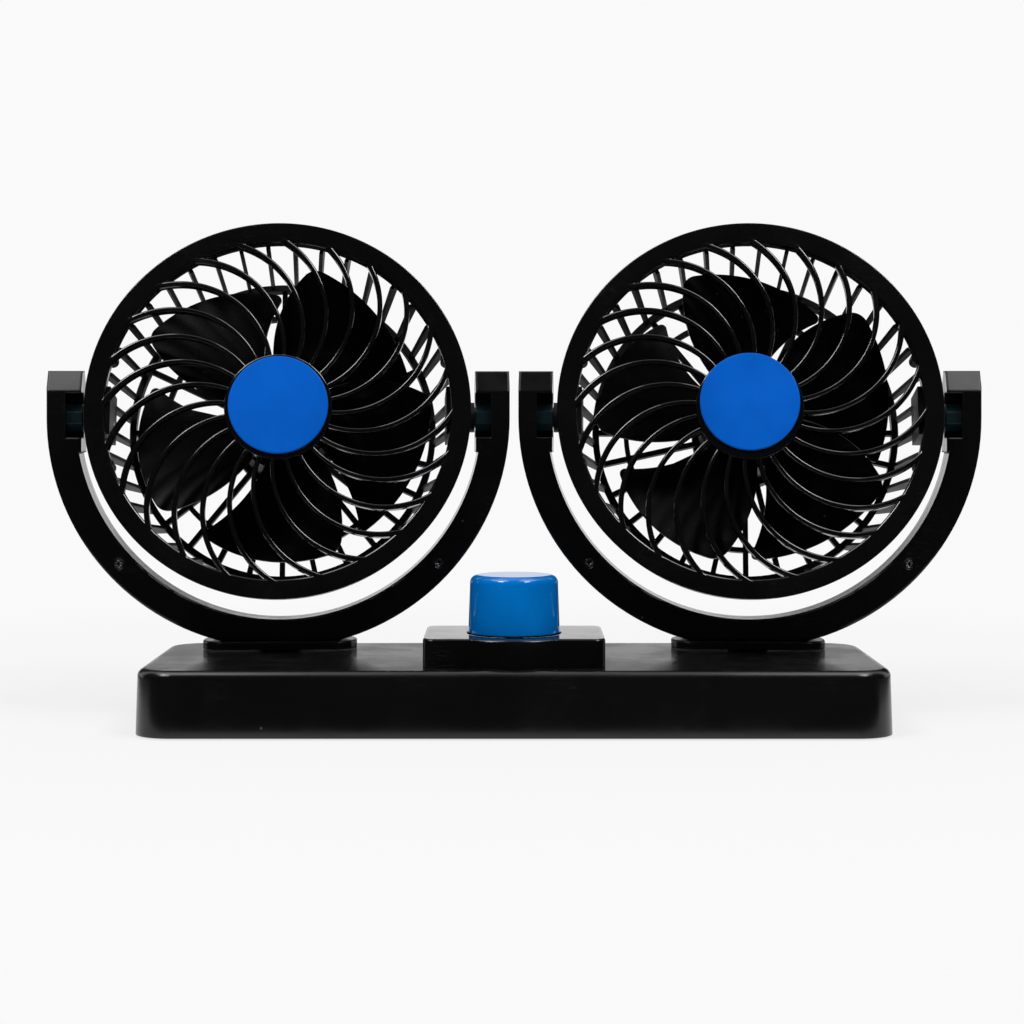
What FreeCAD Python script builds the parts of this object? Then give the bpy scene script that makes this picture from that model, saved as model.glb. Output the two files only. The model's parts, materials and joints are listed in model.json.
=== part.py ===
import FreeCAD, Part
import math
import operator
import os
from types import SimpleNamespace

import Sketcher
from FreeCAD import Vector

# Dual head dashboard fan: a flat base with a push button, two C-shaped yokes that swivel on it
# and a fan head that tilts in each yoke.
# Millimetres, +Z up, front towards -Y, origin under the middle of the base on the resting surface.

DRIVING_SIZES = {
    # base shell, its cover and the pad it stands on
    "base_width": 210.7,
    "base_depth": 74.0,
    "base_height": 18.8,
    "base_corner": 11.0,
    "base_edge": 2.2,
    "base_draft": 1.8,
    "base_wall": 2.2,
    "rest_gap": 0.5,
    "cover_thickness": 2.4,
    "cover_gap": 0.2,
    "pad_length": 150.0,
    "pad_depth": 44.0,
    "pad_corner": 5.0,
    "pad_thickness": 1.5,
    "pad_gap": 0.2,
    # fasteners
    "base_screw_inset": 13.0,
    "screw_head": 2.3,
    "screw_head_height": 1.3,
    "screw_shank": 1.2,
    "screw_length": 8.0,
    "screw_post": 3.4,
    "small_head": 1.3,
    "small_head_height": 1.1,
    "small_shank": 0.8,
    "cross_share": 0.7,
    "cross_width": 0.25,
    "cross_depth": 0.5,
    "screw_gap": 0.05,
    "head_gap": 0.15,
    # switch block, button and switch
    "pod_width": 50.8,
    "pod_front": 17.0,
    "pod_back": 20.5,
    "pod_height": 8.2,
    "pod_corner": 3.0,
    "pod_edge": 0.7,
    "pod_bulge": 20.6,
    "pod_screw_spacing": 38.0,
    "button_place": 13.2,
    "button_radius": 13.0,
    "button_height": 16.3,
    "button_draft": 0.5,
    "button_round": 2.2,
    "button_wall": 1.7,
    "button_lift": 0.3,
    "button_travel": 3.0,
    "button_gap": 0.5,
    "button_stem": 5.0,
    "stem_end": 13.0,
    "switch_side": 15.0,
    "switch_height": 12.0,
    "switch_gap": 0.3,
    "bush_radius": 4.5,
    "bush_height": 7.0,
    "nut_flats": 13.0,
    "nut_height": 2.2,
    "plunger_radius": 2.5,
    "plunger_grip": 6.0,
    "plunger_depth": 4.0,
    # cord inlet in the rear wall
    "inlet_height": 9.0,
    "inlet_radius": 4.0,
    "inlet_bore": 2.3,
    "inlet_flange": 5.4,
    "inlet_lip": 1.4,
    "inlet_slack": 0.4,
    # where the heads stand
    "head_spacing": 140.6,
    "yaw_place": 22.0,
    "pivot_height": 88.0,
    "rest_tilt": 13.0,
    "rest_toe": 3.5,
    "running_gap": 0.05,
    "moving_gap": 0.3,
    # yoke
    "yoke_outer": 68.8,
    "yoke_inner": 60.2,
    "yoke_depth": 12.0,
    "arm_inner": 58.6,
    "arm_top": 14.0,
    "arm_pad": 10.4,
    "tip_rise": 6.0,
    "tip_run": 3.8,
    "yoke_edge": 0.6,
    "window_width": 4.6,
    "window_up": 7.4,
    "window_down": 5.9,
    "pin_flats": 8.2,
    "pin_seat": 8.0,
    "journal_radius": 3.0,
    "journal_length": 9.0,
    "channel_inner": 62.6,
    "channel_outer": 65.2,
    "channel_depth": 3.6,
    "yoke_screw_radius": 64.4,
    "yoke_screw_angle": 42.4,
    "yoke_screw_post": 2.7,
    "yoke_screw_bite": 4.0,
    # swivel foot and what keeps it in the base
    "foot_width": 46.0,
    "foot_depth": 17.0,
    "foot_corner": 7.0,
    "foot_thickness": 2.4,
    "foot_edge": 0.5,
    "stub_radius": 4.0,
    "stub_height": 4.5,
    "spigot_radius": 6.0,
    "spigot_bore": 2.6,
    "swivel_boss": 10.0,
    "swivel_length": 6.0,
    "washer_radius": 9.5,
    "washer_thickness": 1.0,
    "clip_radius": 8.0,
    "clip_thickness": 0.8,
    "clip_groove": 1.0,
    "spigot_end": 1.4,
    # front guard
    "ring_outer": 57.0,
    "ring_inner": 51.0,
    "ring_front": 14.0,
    "ring_flat": 3.6,
    "ring_depth": 8.0,
    "ring_skirt": 2.2,
    "ring_bevel": 0.8,
    "ring_taper": 1.0,
    "hub_radius": 15.9,
    "hub_front": 15.2,
    "hub_back": 9.0,
    "hub_wall": 1.5,
    "hub_bevel": 0.4,
    "disc_radius": 14.7,
    "disc_thickness": 1.0,
    "disc_round": 0.4,
    "left_disc_rise": 0.4,
    "right_disc_rise": 1.4,
    "rib_count": 24,
    "rib_width": 1.8,
    "rib_depth": 2.8,
    "rib_curve": 27.5,
    "rib_turn": -5.5,
    "rib_land": 1.2,
    "rib_rise": 0.5,
    "rib_dome": 400.0,
    # rear guard
    "rim_wall": 2.1,
    "rim_gap": 0.1,
    "fin_count": 40,
    "fin_thickness": 1.2,
    "fin_reach": 1.2,
    "spoke_count": 28,
    "spoke_thickness": 1.6,
    "spoke_depth": 2.5,
    "cage_back": 24.0,
    "outer_hoop": 45.2,
    "outer_hoop_width": 2.0,
    "outer_hoop_depth": 4.0,
    "inner_hoop": 36.0,
    "inner_hoop_width": 1.5,
    "boss_radius": 4.5,
    "boss_block": 3.0,
    "boss_block_height": 14.4,
    "boss_block_back": 6.0,
    "lug_radius": 1.8,
    "lug_place": 52.4,
    "lug_turn": 18.0,
    "lug_length": 6.5,
    "lug_bite": 2.4,
    # motor and its cup
    "motor_radius": 12.2,
    "motor_front": 8.0,
    "motor_length": 20.0,
    "motor_boss": 4.0,
    "motor_boss_height": 1.2,
    "endbell_length": 2.5,
    "cup_wall": 2.0,
    "cup_face": 1.5,
    "motor_gap": 0.1,
    "cover_wall": 1.8,
    "cover_skirt": 5.0,
    "cover_round": 1.5,
    "shaft_radius": 1.0,
    "shaft_front": 5.0,
    # impeller
    "blade_count": 5,
    "blade_tip": 43.4,
    "blade_lobe": 2.2,
    "blade_thickness": 1.3,
    "blade_span": 60.0,
    "blade_sweep": 20.0,
    "blade_round": 5.0,
    "blade_nose": 1.5,
    "blade_middle": 0.8,
    "root_pitch": 38.0,
    "tip_pitch": 20.0,
    "impeller_hub": 13.5,
    "impeller_front": 8.0,
    "impeller_back": 5.0,
    "impeller_wall": 1.6,
    "impeller_round": 3.0,
    "impeller_boss": 3.5,
    "left_blade_turn": 67.5,
    "right_blade_turn": 32.5,
}

SIDES = {"left": -1, "right": 1}
OCTAGON = math.tan(math.pi / 8)
HEXAGON = math.tan(math.pi / 6)

doc = FreeCAD.newDocument("dual_head_fan")
sheet = doc.addObject("Spreadsheet::Sheet", "Sizes")
for row, (name, number) in enumerate(DRIVING_SIZES.items(), start=1):
    sheet.set(f"A{row}", name)
    sheet.set(f"B{row}", str(number))
    sheet.setAlias(f"B{row}", name)
doc.recompute()


class Size:
    """A length, angle or count: its present value and the sheet expression behind it."""

    def __init__(self, value, text):
        self.value = value
        self.text = text

    def __add__(self, other):
        return combined(self, other, "+", operator.add)

    def __radd__(self, other):
        return combined(other, self, "+", operator.add)

    def __sub__(self, other):
        return combined(self, other, "-", operator.sub)

    def __rsub__(self, other):
        return combined(other, self, "-", operator.sub)

    def __mul__(self, other):
        return combined(self, other, "*", operator.mul)

    def __rmul__(self, other):
        return combined(other, self, "*", operator.mul)

    def __truediv__(self, other):
        return combined(self, other, "/", operator.truediv)

    def __rtruediv__(self, other):
        return combined(other, self, "/", operator.truediv)

    def __neg__(self):
        return combined(0, self, "-", operator.sub)


def as_size(number):
    """A plain number as a Size."""
    return number if isinstance(number, Size) else Size(float(number), repr(float(number)))


def combined(left, right, sign, work):
    """Two sizes joined by an arithmetic sign."""
    left = as_size(left)
    right = as_size(right)
    return Size(work(left.value, right.value), f"({left.text} {sign} {right.text})")


def root(area):
    """Square root of a size."""
    return Size(math.sqrt(area.value), f"sqrt({area.text})")


def sine(angle):
    """Sine of an angle in degrees."""
    return Size(math.sin(math.radians(angle.value)), f"sin({angle.text})")


def cosine(angle):
    """Cosine of an angle in degrees."""
    return Size(math.cos(math.radians(angle.value)), f"cos({angle.text})")


def tangent(angle):
    """Tangent of an angle in degrees."""
    return Size(math.tan(math.radians(angle.value)), f"tan({angle.text})")


d = SimpleNamespace(**{name: Size(float(sheet.get(name)), f"Sizes.{name}") for name in DRIVING_SIZES})
sub_parts = []


def bind(thing, prop, size):
    """Tie a property to the sheet."""
    thing.setExpression(prop, as_size(size).text)


def place(thing, prop, x, y, z, about_z=0, about_y=0, about_x=0):
    """Tie a placement to the sheet: turns about X, then Y, then Z, and a shift."""
    shift = "; ".join(as_size(part).text for part in (x, y, z))
    turns = "; ".join(as_size(part).text for part in (about_z, about_y, about_x))
    thing.setExpression(prop, f"placement(vector({shift}); rotation({turns}))")


def new_body(label):
    """An empty body that becomes the node of that name."""
    body = doc.addObject("PartDesign::Body", label)
    body.Label = label
    sub_parts.append(body)
    return body


def both_sides(left):
    """A left-hand body and its copy for the right-hand side."""
    right = new_body(left.Label.replace("left", "right"))
    twin = doc.addObject("PartDesign::FeatureBase", "Twin")
    twin.BaseFeature = left
    right.Group = [twin]
    right.Tip = twin
    return {"left": left, "right": right}


def origin_feature(body, role):
    """One of a body's own origin planes or axes."""
    return next(item for item in body.Origin.OriginFeatures if item.Role == role)


def new_sketch(body, plane, lift=0, turn=0):
    """A sketch on an origin plane, raised along its normal or turned about the body's upright axis."""
    sketch = body.newObject("Sketcher::SketchObject", "Sketch")
    sketch.AttachmentSupport = (origin_feature(body, plane), [""])
    sketch.MapMode = "FlatFace"
    if plane == "XY_Plane":
        place(sketch, "AttachmentOffset", 0, 0, lift, about_z=turn)
    else:
        place(sketch, "AttachmentOffset", 0, 0, lift, about_y=turn)
    return sketch


def fix(sketch, kind, *where):
    """Add a constraint whose last value is a size tied to the sheet."""
    size = as_size(where[-1])
    index = sketch.addConstraint(Sketcher.Constraint(kind, *where[:-1], size.value))
    sketch.setExpression(f"Constraints[{index}]", size.text)


def fix_point(sketch, geometry, end, x, y):
    """Hold a point of the sketch at its two coordinates."""
    fix(sketch, "DistanceX", -1, 1, geometry, end, x)
    fix(sketch, "DistanceY", -1, 1, geometry, end, y)


def add_circle(sketch, x, y, radius):
    """A circle by centre and radius."""
    centre = Vector(as_size(x).value, as_size(y).value, 0)
    circle = sketch.addGeometry(Part.Circle(centre, Vector(0, 0, 1), as_size(radius).value))
    fix_point(sketch, circle, 3, x, y)
    fix(sketch, "Radius", circle, radius)


def add_ring(sketch, x, y, outer, inner):
    """Two circles with one centre."""
    add_circle(sketch, x, y, outer)
    add_circle(sketch, x, y, inner)


def add_outline(sketch, points):
    """A closed outline. A point is (x, y), or (x, y, radius) where an arc arrives at it.

    The arc turns to the left for a positive radius and to the right for a negative one."""
    spots = [Vector(as_size(point[0]).value, as_size(point[1]).value, 0) for point in points]
    pieces = []
    for index, point in enumerate(points):
        start = spots[index - 1]
        finish = spots[index]
        if len(point) == 2:
            line = sketch.addGeometry(Part.LineSegment(start, finish))
            pieces.append((line, 1, 2))
            continue
        radius = as_size(point[2])
        half = (finish - start) / 2
        across = Vector(-half.y, half.x, 0).normalize()
        reach = math.sqrt(radius.value ** 2 - half.Length ** 2)
        centre = start + half + across * math.copysign(reach, radius.value)
        first, last = (start, finish) if radius.value > 0 else (finish, start)
        angles = [math.atan2(spot.y - centre.y, spot.x - centre.x) for spot in (first, last)]
        circle = Part.Circle(centre, Vector(0, 0, 1), abs(radius.value))
        arc = sketch.addGeometry(Part.ArcOfCircle(circle, angles[0], angles[1]))
        pieces.append((arc, 1, 2) if radius.value > 0 else (arc, 2, 1))
        fix(sketch, "Radius", arc, radius if radius.value > 0 else -radius)
    for index, (piece, begin, end) in enumerate(pieces):
        after, after_begin, _ = pieces[(index + 1) % len(pieces)]
        sketch.addConstraint(Sketcher.Constraint("Coincident", piece, end, after, after_begin))
        fix_point(sketch, piece, end, points[index][0], points[index][1])


def add_box(sketch, left, low, right, high):
    """A rectangle by its sides."""
    add_outline(sketch, [(left, low), (right, low), (right, high), (left, high)])


def add_rounded_box(sketch, x, y, width, depth, corner):
    """A rectangle with round corners about a centre."""
    far = width / 2
    deep = depth / 2
    add_outline(sketch, [
        (x + far - corner, y - deep), (x + far, y - deep + corner, corner),
        (x + far, y + deep - corner), (x + far - corner, y + deep, corner),
        (x - far + corner, y + deep), (x - far, y + deep - corner, corner),
        (x - far, y - deep + corner), (x - far + corner, y - deep, corner),
    ])


def add_polygon(sketch, flats, sides_tangent, count):
    """A regular polygon about the origin by its distance across flats."""
    circle = flats / 2 * math.hypot(1, sides_tangent)
    turns = [2 * math.pi * (step + 0.5) / count for step in range(count)]
    add_outline(sketch, [(circle * math.cos(turn), circle * math.sin(turn)) for turn in turns])


def add_cross(sketch, x, y, reach, width):
    """A cross about a centre, as a screwdriver's tip leaves room for."""
    half = width / 2
    corner = [(reach, -half), (reach, half), (half, half)]
    spots = []
    for turn in range(4):
        spots += corner
        corner = [(-v, u) for u, v in corner]
    add_outline(sketch, [(x + u, y + v) for u, v in spots])


def pad(body, sketch, length, midplane=False, backwards=False, draft=None):
    """Material over a sketch, along its normal."""
    feature = body.newObject("PartDesign::Pad", "Pad")
    feature.Profile = sketch
    feature.Midplane = midplane
    feature.Reversed = backwards
    bind(feature, "Length", length)
    if draft is not None:
        bind(feature, "TaperAngle", draft)
    doc.recompute()
    return feature


def removed(body, feature):
    """Recompute a cut and see that it took material away."""
    before = feature.BaseFeature.Shape.Volume
    doc.recompute()
    if not feature.Shape.Volume < before:
        raise RuntimeError(f"a cut in {body.Label} removes nothing")
    return feature


def pocket(body, sketch, length, midplane=False, backwards=False, draft=None):
    """A cut over a sketch, against its normal."""
    feature = body.newObject("PartDesign::Pocket", "Pocket")
    feature.Profile = sketch
    feature.Midplane = midplane
    feature.Reversed = backwards
    bind(feature, "Length", length)
    if draft is not None:
        bind(feature, "TaperAngle", draft)
    return removed(body, feature)


def revolve(body, sketch):
    """Material turned about the sketch's upright axis."""
    feature = body.newObject("PartDesign::Revolution", "Revolution")
    feature.Profile = sketch
    feature.ReferenceAxis = (sketch, ["V_Axis"])
    feature.Angle = 360
    doc.recompute()
    return feature


def groove(body, sketch):
    """A cut turned about the sketch's upright axis."""
    feature = body.newObject("PartDesign::Groove", "Groove")
    feature.Profile = sketch
    feature.ReferenceAxis = (sketch, ["V_Axis"])
    feature.Angle = 360
    return removed(body, feature)


def repeat_round(body, feature, count):
    """Copies of a feature about the body's upright axis."""
    pattern = body.newObject("PartDesign::PolarPattern", "PolarPattern")
    pattern.Originals = [feature]
    pattern.Axis = (origin_feature(body, "Z_Axis"), [""])
    pattern.Angle = 360
    bind(pattern, "Occurrences", count)
    body.Tip = pattern
    doc.recompute()
    return pattern


def round_edges(body, feature, radius, chosen):
    """Fillet the edges that the test picks."""
    names = [f"Edge{index}" for index, edge in enumerate(feature.Shape.Edges, 1) if chosen(edge)]
    fillet = body.newObject("PartDesign::Fillet", "Fillet")
    fillet.Base = (feature, names)
    bind(fillet, "Radius", radius)
    doc.recompute()
    return fillet


def flat_at(level, axis="Z"):
    """A test for edges that lie in a plane square to an axis."""
    def chosen(edge):
        box = edge.BoundBox
        low = getattr(box, f"{axis}Min")
        high = getattr(box, f"{axis}Max")
        return abs(low - level.value) < 1e-4 and abs(high - level.value) < 1e-4
    return chosen


def revolved_body(label, *outlines):
    """A body turned about its upright axis from outlines of (radius, height) points."""
    body = new_body(label)
    sketch = new_sketch(body, "XZ_Plane")
    for outline in outlines:
        add_outline(sketch, outline)
    revolve(body, sketch)
    return body


def screw_group(label, plane, spots, seat, head, head_height, shank, length, upwards):
    """Separate screws with their heads under a seat and their shanks beyond it."""
    body = new_body(label)
    for radius, reach, backwards in ((head, head_height, upwards), (shank, length, not upwards)):
        sketch = new_sketch(body, plane, seat)
        for x, y in spots:
            add_circle(sketch, x, y, radius)
        pad(body, sketch, reach, backwards=backwards)
    recess = new_sketch(body, plane, seat - head_height if upwards else seat + head_height)
    for x, y in spots:
        add_cross(recess, x, y, head * d.cross_share, head * 2 * d.cross_width)
    pocket(body, recess, head_height * d.cross_depth, backwards=upwards)
    return body


# Places that several pieces share
shell_bottom = d.rest_gap
shell_top = d.base_height
cover_top = shell_bottom + d.cover_thickness
ceiling = shell_top - d.base_wall
button_y = -d.button_place
pod_top = shell_top + d.pod_height
well_floor = pod_top - d.button_travel - d.button_gap - d.button_lift
head_x = d.head_spacing / 2
foot_bottom = shell_top + d.moving_gap
foot_top = foot_bottom + d.foot_thickness
boss_bottom = shell_top - d.swivel_length
screw_x = d.base_width / 2 - d.base_screw_inset
screw_y = d.base_depth / 2 - d.base_screw_inset
corner_spots = [(screw_x * right, screw_y * back) for right in (-1, 1) for back in (-1, 1)]
pod_spots = [(d.pod_screw_spacing / 2 * right, button_y) for right in (-1, 1)]
yaw_spots = [(head_x * side, d.yaw_place) for side in SIDES.values()]


def base_housing():
    """Moulded shell, open below, with posts for the cover and bosses for the swivels."""
    body = new_body("base_housing")
    outline = new_sketch(body, "XY_Plane", shell_bottom)
    add_rounded_box(outline, 0, 0, d.base_width, d.base_depth, d.base_corner)
    shell = pad(body, outline, shell_top - shell_bottom, draft=-d.base_draft)
    round_edges(body, shell, d.base_edge, flat_at(shell_top))

    hollow = new_sketch(body, "XY_Plane", shell_bottom)
    inner_width = d.base_width - 2 * d.base_wall
    inner_depth = d.base_depth - 2 * d.base_wall
    add_rounded_box(hollow, 0, 0, inner_width, inner_depth, d.base_corner - d.base_wall)
    pocket(body, hollow, ceiling - shell_bottom, backwards=True, draft=-d.base_draft)

    posts = new_sketch(body, "XY_Plane", cover_top)
    for x, y in corner_spots:
        add_circle(posts, x, y, d.screw_post)
    pad(body, posts, ceiling + d.base_wall / 2 - cover_top)
    pilots = new_sketch(body, "XY_Plane", cover_top)
    for x, y in corner_spots:
        add_circle(pilots, x, y, d.screw_shank + d.screw_gap)
    pocket(body, pilots, d.screw_length, backwards=True)

    bosses = new_sketch(body, "XY_Plane", boss_bottom)
    for x, y in yaw_spots:
        add_circle(bosses, x, y, d.swivel_boss)
    pad(body, bosses, d.swivel_length - d.base_wall / 2)
    bores = new_sketch(body, "XY_Plane", shell_top)
    for x, y in yaw_spots:
        add_circle(bores, x, y, d.spigot_radius + d.running_gap)
    pocket(body, bores, d.swivel_length)

    openings = new_sketch(body, "XY_Plane", shell_top)
    reach = d.switch_side / 2 + d.switch_gap
    add_box(openings, -reach, button_y - reach, reach, button_y + reach)
    for x, y in pod_spots:
        add_circle(openings, x, y, d.screw_shank + d.head_gap)
    pocket(body, openings, d.base_wall)

    inlet = new_sketch(body, "XZ_Plane", -d.base_depth / 2)
    add_circle(inlet, 0, d.inlet_height, d.inlet_radius)
    pocket(body, inlet, 4 * d.base_wall, backwards=True)
    return body


def base_cover():
    """Cover plate inside the lower edge of the shell, with a seat for the pad."""
    body = new_body("base_plate")
    outline = new_sketch(body, "XY_Plane", shell_bottom)
    margin = d.base_wall + d.cover_gap + tangent(d.base_draft) * d.cover_thickness
    corner = d.base_corner - margin
    add_rounded_box(outline, 0, 0, d.base_width - 2 * margin, d.base_depth - 2 * margin, corner)
    pad(body, outline, d.cover_thickness)
    seat = new_sketch(body, "XY_Plane", shell_bottom)
    wide = d.pad_length + 2 * d.pad_gap
    deep = d.pad_depth + 2 * d.pad_gap
    add_rounded_box(seat, 0, 0, wide, deep, d.pad_corner + d.pad_gap)
    pocket(body, seat, d.pad_thickness - d.rest_gap, backwards=True)
    holes = new_sketch(body, "XY_Plane", cover_top)
    sinks = new_sketch(body, "XY_Plane", shell_bottom)
    for x, y in corner_spots:
        add_circle(holes, x, y, d.screw_shank + d.head_gap)
        add_circle(sinks, x, y, d.screw_head + d.head_gap)
    pocket(body, holes, d.cover_thickness)
    pocket(body, sinks, d.screw_head_height + d.head_gap, backwards=True)
    return body


def adhesive_pad():
    """The pad on which the base stands and by which it is stuck down."""
    body = new_body("adhesive_pad")
    outline = new_sketch(body, "XY_Plane")
    add_rounded_box(outline, 0, 0, d.pad_length, d.pad_depth, d.pad_corner)
    pad(body, outline, d.pad_thickness)
    return body


def switch_pod():
    """Raised block with a round bulge and a well for the button."""
    body = new_body("switch_pod")
    block = new_sketch(body, "XY_Plane", shell_top)
    middle = button_y + (d.pod_back - d.pod_front) / 2
    add_rounded_box(block, 0, middle, d.pod_width, d.pod_front + d.pod_back, d.pod_corner)
    pad(body, block, d.pod_height)
    bulge = new_sketch(body, "XY_Plane", shell_top)
    add_circle(bulge, 0, button_y, d.pod_bulge)
    whole = pad(body, bulge, d.pod_height)
    round_edges(body, whole, d.pod_edge, flat_at(pod_top))
    well = new_sketch(body, "XY_Plane", pod_top)
    add_circle(well, 0, button_y, d.button_radius + d.button_gap)
    pocket(body, well, pod_top - well_floor)
    bush = new_sketch(body, "XY_Plane", well_floor)
    add_circle(bush, 0, button_y, d.bush_radius + d.screw_gap)
    pocket(body, bush, well_floor - shell_top)
    pilots = new_sketch(body, "XY_Plane", shell_top)
    for x, y in pod_spots:
        add_circle(pilots, x, y, d.screw_shank + d.screw_gap)
    pocket(body, pilots, d.screw_length - d.base_wall, backwards=True)
    return body


def switch_parts():
    """Push switch with its nut, and the plunger that carries the cap."""
    switch = new_body("switch_body")
    place(switch, "Placement", 0, button_y, shell_top)
    case = new_sketch(switch, "XY_Plane")
    half = d.switch_side / 2
    add_box(case, -half, -half, half, half)
    pad(switch, case, d.switch_height, backwards=True)
    bush = new_sketch(switch, "XY_Plane")
    add_circle(bush, 0, 0, d.bush_radius)
    pad(switch, bush, d.bush_height)
    bore = new_sketch(switch, "XY_Plane", d.bush_height)
    add_circle(bore, 0, 0, d.plunger_radius + d.running_gap)
    pocket(switch, bore, d.bush_height + d.plunger_depth + d.button_travel + d.moving_gap)

    nut = new_body("switch_nut")
    place(nut, "Placement", 0, button_y, well_floor)
    hexagon = new_sketch(nut, "XY_Plane")
    add_polygon(hexagon, d.nut_flats, HEXAGON, 6)
    add_circle(hexagon, 0, 0, d.bush_radius + d.screw_gap)
    pad(nut, hexagon, d.nut_height)

    plunger = new_body("switch_plunger")
    place(plunger, "Placement", 0, button_y, pod_top + d.button_lift)
    rod = new_sketch(plunger, "XY_Plane", shell_top - d.plunger_depth - pod_top - d.button_lift)
    add_circle(rod, 0, 0, d.plunger_radius)
    stem_low = d.button_height - d.stem_end
    pad(plunger, rod, stem_low + d.plunger_grip + pod_top + d.button_lift - shell_top + d.plunger_depth)


def button_cap():
    """Hollow cap with a slight draft, a round top edge and a stem for the plunger."""
    top = d.button_radius - d.button_draft
    inside = d.button_radius - d.button_wall
    roof = d.button_height - d.button_wall
    stem_low = d.button_height - d.stem_end
    socket = d.plunger_radius + d.screw_gap
    socket_top = stem_low + d.plunger_grip
    body = revolved_body("button_cap", [
        (inside, 0), (d.button_radius, 0), (top, d.button_height - d.button_round),
        (top - d.button_round, d.button_height, d.button_round), (0, d.button_height),
        (0, socket_top), (socket, socket_top), (socket, stem_low), (d.button_stem, stem_low),
        (d.button_stem, roof), (inside - d.button_draft, roof),
    ])
    place(body, "Placement", 0, button_y, pod_top + d.button_lift)
    return body


def cable_grommet():
    """Bush in the rear wall where the supply cord goes in, its axis along Y."""
    lean = tangent(d.base_draft) * (d.inlet_height - shell_bottom)
    groove_width = d.base_wall + 2 * d.inlet_slack
    neck = d.inlet_radius - d.screw_gap
    body = revolved_body("cable_grommet", [
        (d.inlet_bore, 0), (d.inlet_flange, 0), (d.inlet_flange, d.inlet_lip),
        (neck, d.inlet_lip), (neck, d.inlet_lip + groove_width),
        (d.inlet_flange, d.inlet_lip + groove_width),
        (d.inlet_flange - d.inlet_slack, 2 * d.inlet_lip + groove_width),
        (d.inlet_bore, 2 * d.inlet_lip + groove_width),
    ])
    start = d.base_depth / 2 - lean - d.base_wall - d.inlet_slack - d.inlet_lip
    place(body, "Placement", 0, start, d.inlet_height, about_x=-90)
    return body


def place_on_yaws(left, height):
    """Set a piece of each yoke on its swivel axis, toed in by the rest turn."""
    for side, body in both_sides(left).items():
        turn = d.rest_toe * -SIDES[side]
        place(body, "Placement", head_x * SIDES[side], d.yaw_place, height, about_z=turn)


def yoke_screw_spots():
    """Where the screws pass through the yoke, left and right of its lowest point."""
    across = d.yoke_screw_radius * sine(90 - d.yoke_screw_angle)
    down = -d.yoke_screw_radius * sine(d.yoke_screw_angle)
    return [(across * right, down) for right in (-1, 1)]


def yoke_half(label, front):
    """Half of the C-shaped yoke, from its parting plane to its front or rear face.

    Its own origin is where the tilt and swivel axes cross."""
    body = new_body(f"left_{label}")
    place_on_yaws(body, d.pivot_height)
    half = d.yoke_depth / 2
    outward = -1 if front else 1
    rear = not front

    band = new_sketch(body, "XZ_Plane")
    add_ring(band, 0, 0, d.yoke_outer, d.yoke_inner)
    pad(body, band, half, backwards=rear)
    channel = new_sketch(body, "XZ_Plane")
    add_ring(channel, 0, 0, d.channel_outer, d.channel_inner)
    pocket(body, channel, d.channel_depth, backwards=front)

    trim = new_sketch(body, "XZ_Plane")
    wide = d.yoke_outer + half
    add_box(trim, -wide, 0, wide, wide)
    flat = foot_top - d.pivot_height
    add_box(trim, -wide, -wide, wide, flat)
    pocket(body, trim, 2 * d.yoke_depth, midplane=True)

    arms = new_sketch(body, "XZ_Plane")
    for right in (-1, 1):
        near = d.arm_inner * right
        far = d.yoke_outer * right
        mid = (d.arm_inner + d.window_width) * right
        add_outline(arms, [(near, -d.arm_pad), (mid, -d.arm_pad), (mid, 0), (far, 0),
                           (far, d.arm_top), (near, d.arm_top)])
    for x, z in yoke_screw_spots():
        add_circle(arms, x, z, d.yoke_screw_post)
    whole = pad(body, arms, half, backwards=rear)

    face = half * outward
    round_edges(body, whole, d.yoke_edge, flat_at(face, "Y"))

    tips = new_sketch(body, "YZ_Plane")
    add_outline(tips, [(face, d.arm_top - d.tip_rise), (face, d.arm_top),
                       (face - d.tip_run * outward, d.arm_top)])
    pocket(body, tips, 2 * wide, midplane=True)

    pins = new_sketch(body, "YZ_Plane")
    add_polygon(pins, d.pin_flats + 2 * d.screw_gap, OCTAGON, 8)
    pocket(body, pins, 2 * (d.arm_inner + d.pin_seat + d.screw_gap), midplane=True)
    if front:
        windows = new_sketch(body, "XZ_Plane")
        for right in (-1, 1):
            near = (d.arm_inner - d.moving_gap) * right
            far = (d.arm_inner + d.window_width) * right
            add_box(windows, near, -d.window_down, far, d.window_up)
        pocket(body, windows, 2 * d.yoke_depth, midplane=True)

    stub = new_sketch(body, "XY_Plane", flat)
    add_circle(stub, 0, 0, d.stub_radius + d.screw_gap)
    pocket(body, stub, d.stub_height + d.screw_gap, backwards=True)

    screws = new_sketch(body, "XZ_Plane")
    for x, z in yoke_screw_spots():
        add_circle(screws, x, z, d.small_shank + d.screw_gap)
    if front:
        pocket(body, screws, 2 * d.yoke_depth, midplane=True)
        sinks = new_sketch(body, "XZ_Plane", half)
        for x, z in yoke_screw_spots():
            add_circle(sinks, x, z, d.small_head + d.head_gap)
        pocket(body, sinks, d.small_head_height + d.head_gap)
    else:
        pocket(body, screws, d.yoke_screw_bite + d.screw_gap)
    return body


def yoke_screws():
    """Screws that hold the halves of a yoke, heads sunk in the front."""
    seat = d.yoke_depth / 2 - d.small_head_height - d.head_gap
    body = screw_group("left_yoke_screws", "XZ_Plane", yoke_screw_spots(), seat, d.small_head,
                       d.small_head_height, d.small_shank, seat + d.yoke_screw_bite, upwards=False)
    place_on_yaws(body, d.pivot_height)


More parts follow.
